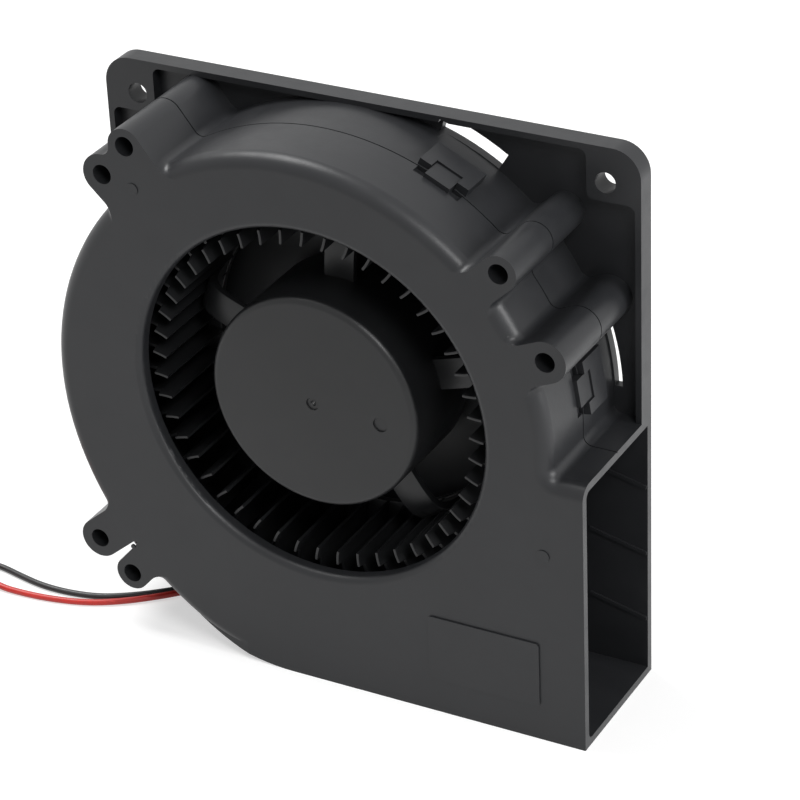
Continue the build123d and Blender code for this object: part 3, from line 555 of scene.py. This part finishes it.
def stepped_down(tree, blade, step, step_radius):
    """The blade with its part beyond the step's radius cut down to the step's height."""
    position = tree.node("GeometryNodeInputPosition", {}, "Position")
    split = tree.group.nodes.new("ShaderNodeSeparateXYZ")
    tree.group.links.new(position, split.inputs["Vector"])
    across = tree.math("POWER", split.outputs["X"], 2.0)
    along = tree.math("POWER", split.outputs["Y"], 2.0)
    radius = tree.math("SQRT", tree.math("ADD", across, along), 0.0)
    # Inside the step's radius this adds a metre to the limit, so nothing is cut there
    inside = tree.math("LESS_THAN", radius, step_radius)
    limit = tree.math("ADD", step, inside)
    lowered = tree.node(
        "ShaderNodeCombineXYZ",
        {
            "X": split.outputs["X"],
            "Y": split.outputs["Y"],
            "Z": tree.math("MINIMUM", split.outputs["Z"], limit),
        },
        "Vector",
    )
    return tree.node("GeometryNodeSetPosition", {"Geometry": blade, "Position": lowered}, "Geometry")


def spoke_line(tree, sizes):
    """The middle line of one spoke, which leaves the hub flat and then drops to the drum's floor."""
    hub_end = sizes.hub_radius - sizes.hub_wall / 2
    drum_end = sizes.blade_inner + MM
    half = sizes.spoke_thickness / 2
    level = sizes.spoke_start - half
    return tree.node(
        "GeometryNodeCurvePrimitiveBezierSegment",
        {
            "Resolution": 16,
            "Start": tree.size("Spoke Start", "Vector", (hub_end, 0.0, level)),
            "Start Handle": tree.size("Spoke Run", "Vector", (drum_end - 2.5 * MM, 0.0, level)),
            "End Handle": tree.size("Spoke Bend", "Vector", (drum_end - MM, 0.0, level)),
            "End": tree.size("Spoke End", "Vector", (drum_end, 0.0, sizes.floor_front - half)),
        },
        "Curve", mode="POSITION",
    )


def drum_tree(sizes, plastic):
    """Blades, spokes, floor and ring of the drum, round Z and with the inlet on top."""
    tree = Tree("drum")
    inner = tree.size("Blade Inner Radius", "Float", sizes.blade_inner)
    outer = tree.size("Blade Outer Radius", "Float", sizes.blade_outer)
    step_radius = tree.size("Step Radius", "Float", sizes.step_radius)
    step = tree.size("Blade Step", "Float", sizes.blade_step)
    front = tree.size("Blade Front", "Float", sizes.blade_front)
    floor = tree.size("Floor Front", "Float", sizes.floor_front)
    floor_height = tree.size("Floor Thickness", "Float", sizes.floor_height)
    thickness = tree.size("Blade Thickness", "Float", sizes.blade_thickness)
    edge = tree.size("Edge", "Float", sizes.edge)
    blade_count = tree.size("Blade Count", "Int", sizes.blade_count)
    ring_width = tree.size("Ring Width", "Float", sizes.ring_width)
    ring_height = tree.size("Ring Height", "Float", sizes.ring_height)
    spoke_count = tree.size("Spoke Count", "Int", sizes.spoke_count)
    spoke_angle = tree.size("Spoke Angle", "Float", sizes.spoke_angle)
    spoke_width = tree.size("Spoke Width", "Float", sizes.spoke_width)
    spoke_thickness = tree.size("Spoke Thickness", "Float", sizes.spoke_thickness)
    material = tree.size("Material", "Material", plastic)

    height = tree.math("SUBTRACT", front, floor)
    blade = tree.swept(blade_line(tree, sizes), tree.bar(thickness, height, edge))
    blade = tree.raised(blade, tree.math("ADD", floor, tree.math("MULTIPLY", height, 0.5)))
    blade = stepped_down(tree, blade, step, step_radius)
    blades = tree.round_the_axis(blade, blade_count, 0.0)

    spoke = tree.swept(spoke_line(tree, sizes), tree.bar(spoke_width, spoke_thickness, edge))
    spokes = tree.round_the_axis(spoke, spoke_count, spoke_angle)

    floor_bottom = tree.math("SUBTRACT", floor, floor_height)
    drum_floor = tree.hoop(inner, outer, floor_bottom, floor_height, edge)
    ring_bottom = tree.math("SUBTRACT", step, ring_height)
    ring = tree.hoop(tree.math("SUBTRACT", outer, ring_width), outer, ring_bottom, ring_height, edge)
    tree.finish(tree.joined(blades, spokes, drum_floor, ring), material)
    return tree


def turned_mesh(name, profile, segments):
    """A closed turned solid from points of radius and height, starting and ending on the axis."""
    work = bmesh.new()
    verts = [work.verts.new((radius, 0.0, height)) for radius, height in profile]
    edges = [work.edges.new(pair) for pair in zip(verts, verts[1:])]
    bmesh.ops.spin(
        work, geom=verts + edges, cent=(0, 0, 0), axis=(0, 0, 1), angle=2 * pi, steps=segments,
        use_merge=True,
    )
    bmesh.ops.remove_doubles(work, verts=work.verts, dist=0.001 * MM)
    bmesh.ops.recalc_face_normals(work, faces=work.faces)
    mesh = bpy.data.meshes.new(name)
    work.to_mesh(mesh)
    work.free()
    return mesh


def hub_profile(sizes):
    """Radius and height along the hub, from the middle of its face round to the middle inside."""
    outer, front, rear = sizes.hub_radius, sizes.hub_front, sizes.hub_rear
    inside = outer - sizes.hub_wall
    ceiling = front - sizes.hub_face
    soft = sizes.edge
    sunk = front - sizes.mark_depth
    nub = [(0.0, front + soft), (2 * soft, front + soft / 2), (4 * soft, sunk)]
    gate = [(sizes.gate_radius - soft, sunk), (sizes.gate_radius, front)]
    rounding = sizes.hub_rounding
    turns = [step * pi / 16 for step in range(9)]
    corner = [
        (outer - rounding + rounding * sin(turn), front - rounding + rounding * cos(turn)) for turn in turns
    ]
    rim = [(outer, rear + soft), (outer - soft, rear), (inside + soft, rear), (inside, rear + soft)]
    return [*nub, *gate, *corner, *rim, (inside, ceiling), (0.0, ceiling)]


def with_sunk_spot(mesh, centre, radius, depth):
    """The mesh with a shallow round spot, with sloping sides, cut into its upper face."""
    slope = depth / 4
    spot = turned_mesh(
        "spot", [(0.0, -depth), (radius - slope, -depth), (radius + slope, depth), (0.0, depth)], 40
    )
    spot.transform(Matrix.Translation(centre))
    tool = shown(bpy.data.objects.new("spot", spot))
    carrier = shown(bpy.data.objects.new("carrier", mesh))
    cut = carrier.modifiers.new("spot", "BOOLEAN")
    cut.operation = "DIFFERENCE"
    cut.solver = "EXACT"
    cut.object = tool
    result = plain_mesh(carrier)
    bpy.data.objects.remove(carrier)
    bpy.data.objects.remove(tool)
    return result


class BLOWER_OT_impeller(bpy.types.Operator):
    """Makes the impeller: hub, spokes and drum with its blades"""

    bl_idname = "blower.impeller"
    bl_label = "Impeller"

    def execute(self, context):
        sizes = impeller_sizes()
        # The impeller's darker colour is partly its own black and partly painted shade for the shade inside
        # the housing.
        plastic = moulded_plastic(
            "impeller_plastic", tuple(finish_colours().impeller), 0.36, grain=4200.0, index=PLASTIC_INDEX
        )
        rotor_piece("impeller_drum", drum_tree(sizes, plastic).made("impeller_drum"))

        turn = sizes.mark_angle
        mark = (sizes.mark_circle * cos(turn), sizes.mark_circle * sin(turn), sizes.hub_front)
        hub = turned_mesh("impeller_hub", hub_profile(sizes), 144)
        hub = with_sunk_spot(hub, mark, sizes.mark_radius, sizes.mark_depth)
        hub.materials.clear()
        hub.materials.append(plastic)
        rotor_piece("impeller_hub", hub)
        return {"FINISHED"}


# Motor

class BLOWER_OT_motor(bpy.types.Operator):
    """Gives the motor, its bearings and its board their finishes"""

    bl_idname = "blower.motor"
    bl_label = "Motor"

    def execute(self, context):
        ground = (40.0, 3600.0, 40.0)
        sheets = (30.0, 9000.0, 30.0)
        windings = (5200.0, 90.0, 5200.0)
        dress(STEEL_NODES, brushed_metal("zinc_steel", (0.55, 0.56, 0.55), 0.36))
        dress(BEARING_NODES, brushed_metal("bearing_steel", (0.66, 0.66, 0.67), 0.18, ground))
        dress(BRASS_NODES, brushed_metal("turned_brass", (0.72, 0.52, 0.22), 0.28))
        dress(("stator_core",), brushed_metal("stacked_sheets", (0.30, 0.30, 0.31), 0.45, sheets))
        dress(("stator_coils",), brushed_metal("enamelled_wire", (0.62, 0.24, 0.09), 0.30, windings))
        dress(("rotor_magnet",), moulded_plastic("bonded_magnet", (0.06, 0.06, 0.065), 0.62))
        dress(INSULATOR_NODES, moulded_plastic("insulator_nylon", (0.62, 0.60, 0.52), 0.45))
        dress(("circuit_board",), moulded_plastic("board_laminate", (0.02, 0.14, 0.06), 0.30))
        dress(CHIP_NODES, moulded_plastic("chip_epoxy", (0.02, 0.02, 0.021), 0.50))
        dress(("board_capacitor",), moulded_plastic("capacitor_ceramic", (0.42, 0.28, 0.15), 0.42))
        dress(("solder_joints",), brushed_metal("solder", (0.70, 0.70, 0.70), 0.25))
        return {"FINISHED"}


# Leads

def eased(value, start, end):
    """From 0 at start to 1 at end, with soft ends."""
    share = min(1.0, max(0.0, (value - start) / (end - start)))
    return share * share * (3.0 - 2.0 * share)


def coil_points(base):
    """Control points of one lead's coil: outer lower turn, inner lower, inner upper, outer upper."""
    sizes = lead_sizes()
    half = sizes.turn_pitch / 2
    step = 2 * pi / sizes.points_per_turn
    count = round(sizes.turned / step)
    # The smooth line runs inside its control points, so they stand further out
    swell = 1.0 / cos(step / 2)
    points = []
    for number in range(count + 1):
        angle = sizes.turned * number / count
        turned = degrees(angle)
        side = 1.0 - 2.0 * eased(turned, *TO_INNER) + 2.0 * eased(turned, *TO_OUTER)
        level = -1.0 + 2.0 * eased(turned, *TO_UPPER)
        radius = (sizes.coil_radius + side * half) * swell
        around = sizes.first_angle + angle
        points.append((
            sizes.coil_centre[0] + radius * cos(around),
            sizes.coil_centre[1] + radius * sin(around),
            base + sizes.turn_pitch + level * half,
        ))
    return points


def lead_curve(name, points, material, replaced):
    """One lead as a smooth tube along its control points."""
    curve = bpy.data.curves.new(name, "CURVE")
    curve.dimensions = "3D"
    spline = curve.splines.new("NURBS")
    spline.points.add(len(points) - 1)
    for point, place in zip(spline.points, points):
        point.co = (*place, 1.0)
    spline.order_u = 3
    spline.use_endpoint_u = True
    spline.resolution_u = 6
    curve.bevel_depth = lead_sizes().diameter / 2
    curve.bevel_resolution = 4
    curve.use_fill_caps = True
    curve.materials.append(material)
    piece = shown(bpy.data.objects.new(name, curve))
    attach(piece, "housing")
    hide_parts(*replaced)
    return piece


class BLOWER_OT_leads(bpy.types.Operator):
    """Lays the two loose leads, with their coils, tie and connector"""

    bl_idname = "blower.leads"
    bl_label = "Leads"

    def execute(self, context):
        sizes = lead_sizes()
        colours = finish_colours()
        black = wire_insulation("black_insulation", tuple(colours.black_lead))
        red = wire_insulation("red_insulation", tuple(colours.red_lead))
        nylon = moulded_plastic("connector_nylon", tuple(colours.connector), 0.42)
        dress(("black_inner_lead",), black)
        dress(("red_inner_lead",), red)
        dress(("lead_connector",), nylon)
        dress(("connector_terminals",), brushed_metal("tinned_terminals", (0.70, 0.69, 0.66), 0.30))
        dress(("lead_tie",), moulded_plastic("tie_nylon", (0.02, 0.02, 0.02), 0.40))
        upper = sizes.coil_rest + 2 * sizes.turn_pitch
        for colour, material, route, base, tail in (
            ("black", black, BLACK_ROUTE, sizes.coil_rest, BLACK_TAIL),
            ("red", red, RED_ROUTE, upper, RED_TAIL),
        ):
            points = [*route, *coil_points(base), *tail]
            replaced = (f"{colour}_lead", f"{colour}_coil", f"{colour}_tail")
            piece = lead_curve(f"{colour}_wire", points, material, replaced)
        return {"FINISHED"}


# Stage

def seen_by_eye(tree):
    """1 for what the camera sees, straight or in gloss or glass, and 0 for light that falls on things."""
    path = tree.nodes.new("ShaderNodeLightPath")
    seen = path.outputs["Is Camera Ray"]
    for name in ("Is Glossy Ray", "Is Transmission Ray"):
        most = tree.nodes.new("ShaderNodeMath")
        most.operation = "MAXIMUM"
        tree.links.new(seen, most.inputs[0])
        tree.links.new(path.outputs[name], most.inputs[1])
        seen = most.outputs["Value"]
    return seen


def white_to_the_camera(material, strength):
    """Shows as plain white to the camera and in gloss, and keeps the shadow that falls on it."""
    tree = material.node_tree
    shader = tree.nodes["Principled BSDF"]
    glow = tree.nodes.new("ShaderNodeEmission")
    glow.inputs["Color"].default_value = (1.0, 1.0, 1.0, 1.0)
    amount = tree.nodes.new("ShaderNodeMath")
    amount.operation = "MULTIPLY"
    amount.inputs[1].default_value = strength
    tree.links.new(seen_by_eye(tree), amount.inputs[0])
    tree.links.new(amount.outputs["Value"], glow.inputs["Strength"])
    both = tree.nodes.new("ShaderNodeAddShader")
    tree.links.new(shader.outputs["BSDF"], both.inputs[0])
    tree.links.new(glow.outputs["Emission"], both.inputs[1])
    tree.links.new(both.outputs["Shader"], tree.nodes["Material Output"].inputs["Surface"])


def area_lamp(name, place, aim, size, power):
    """A round lamp that faces a point. Its size is in metres and its power in watts."""
    lamp = bpy.data.lights.new(name, "AREA")
    lamp.shape = "DISK"
    lamp.size = size
    lamp.energy = power
    made = shown(bpy.data.objects.new(name, lamp))
    made.location = place
    made.rotation_euler = (aim - place).to_track_quat("-Z", "Y").to_euler()


def lay_floor(sizes):
    half = sizes.floor_size / 2
    corners = [(-half, -half, 0), (half, -half, 0), (half, half, 0), (-half, half, 0)]
    mesh = bpy.data.meshes.new("floor")
    mesh.from_pydata(corners, [], [(0, 1, 2, 3)])
    floor = shown(bpy.data.objects.new("floor", mesh))
    pale = bpy.data.materials.new("pale_floor")
    pale.use_nodes = True
    shader = pale.node_tree.nodes["Principled BSDF"]
    shader.inputs["Base Color"].default_value = (*finish_colours().floor, 1.0)
    shader.inputs["Roughness"].default_value = 0.9
    white_to_the_camera(pale, sizes.floor_glow)
    mesh.materials.append(pale)


def white_light(tree, strength):
    light = tree.nodes.new("ShaderNodeBackground")
    light.inputs["Color"].default_value = (1.0, 1.0, 1.0, 1.0)
    light.inputs["Strength"].default_value = strength
    return light.outputs["Background"]


def light_world(scene, sizes):
    """A white world to the camera and in gloss, which lights the object more weakly than it shows."""
    world = scene.world or bpy.data.worlds.new("studio")
    scene.world = world
    world.use_nodes = True
    tree = world.node_tree
    tree.nodes.clear()
    out = tree.nodes.new("ShaderNodeOutputWorld")
    mix = tree.nodes.new("ShaderNodeMixShader")
    tree.links.new(seen_by_eye(tree), mix.inputs["Fac"])
    tree.links.new(white_light(tree, sizes.world_light), mix.inputs[1])
    tree.links.new(white_light(tree, sizes.world_seen), mix.inputs[2])
    tree.links.new(mix.outputs["Shader"], out.inputs["Surface"])


def place_camera(scene, sizes):
    camera = bpy.data.cameras.new("camera")
    camera.lens = sizes.focal_length
    camera.sensor_width = sizes.sensor_width
    camera.sensor_fit = "HORIZONTAL"
    camera.clip_start = 0.01
    camera.clip_end = 50.0
    turn = (
        Matrix.Rotation(sizes.azimuth, 4, "Z")
        @ Matrix.Rotation(pi / 2 - sizes.elevation, 4, "X")
        @ Matrix.Rotation(sizes.roll, 4, "Z")
    )
    seen_from = sizes.target + turn.to_3x3() @ Vector((0.0, 0.0, sizes.distance))
    made = shown(bpy.data.objects.new("camera", camera))
    made.matrix_world = Matrix.Translation(seen_from) @ turn
    scene.camera = made


class BLOWER_OT_stage(bpy.types.Operator):
    """Sets the floor, the lamps, the world and the camera"""

    bl_idname = "blower.stage"
    bl_label = "Stage"

    def execute(self, context):
        sizes = stage_sizes()
        context.scene.view_settings.view_transform = "Standard"
        lay_floor(sizes)
        light_world(context.scene, sizes)
        area_lamp("top_lamp", sizes.top_lamp, sizes.lamp_target, 0.5, 7.0)
        area_lamp("side_lamp", sizes.side_lamp, sizes.lamp_target, 0.5, 6.0)
        area_lamp("front_lamp", sizes.front_lamp, sizes.lamp_target, 0.4, 5.0)
        place_camera(context.scene, sizes)
        return {"FINISHED"}


class BLOWER_PT_panel(bpy.types.Panel):
    """Lists the blower's steps and sizes"""

    bl_label = "Blower"
    bl_idname = "BLOWER_PT_panel"
    bl_space_type = "VIEW_3D"
    bl_region_type = "UI"
    bl_category = "Blower"

    def draw(self, context):
        for step in STEPS:
            self.layout.operator(step.bl_idname)
        for group in (lead_sizes(), impeller_sizes(), stage_sizes(), finish_colours()):
            box = self.layout.box()
            for key in group.__annotations__:
                box.prop(group, key)


GROUPS = {
    "blower_leads": BlowerLeadSizes,
    "blower_impeller": BlowerImpellerSizes,
    "blower_stage": BlowerStageSizes,
    "blower_finish": BlowerFinish,
}
STEPS = (BLOWER_OT_stage, BLOWER_OT_leads, BLOWER_OT_housing, BLOWER_OT_impeller, BLOWER_OT_motor)


def register():
    for made in (*GROUPS.values(), *STEPS, BLOWER_PT_panel):
        bpy.utils.register_class(made)
    for name, group in GROUPS.items():
        setattr(bpy.types.Scene, name, bpy.props.PointerProperty(type=group))


def unregister():
    for name in GROUPS:
        delattr(bpy.types.Scene, name)
    for made in reversed((*GROUPS.values(), *STEPS, BLOWER_PT_panel)):
        bpy.utils.unregister_class(made)


def main():
    register()
    bpy.ops.blower.stage()
    bpy.ops.blower.leads()
    bpy.ops.blower.housing()
    bpy.ops.blower.impeller()
    bpy.ops.blower.motor()


if __name__ == "__main__":
    main()
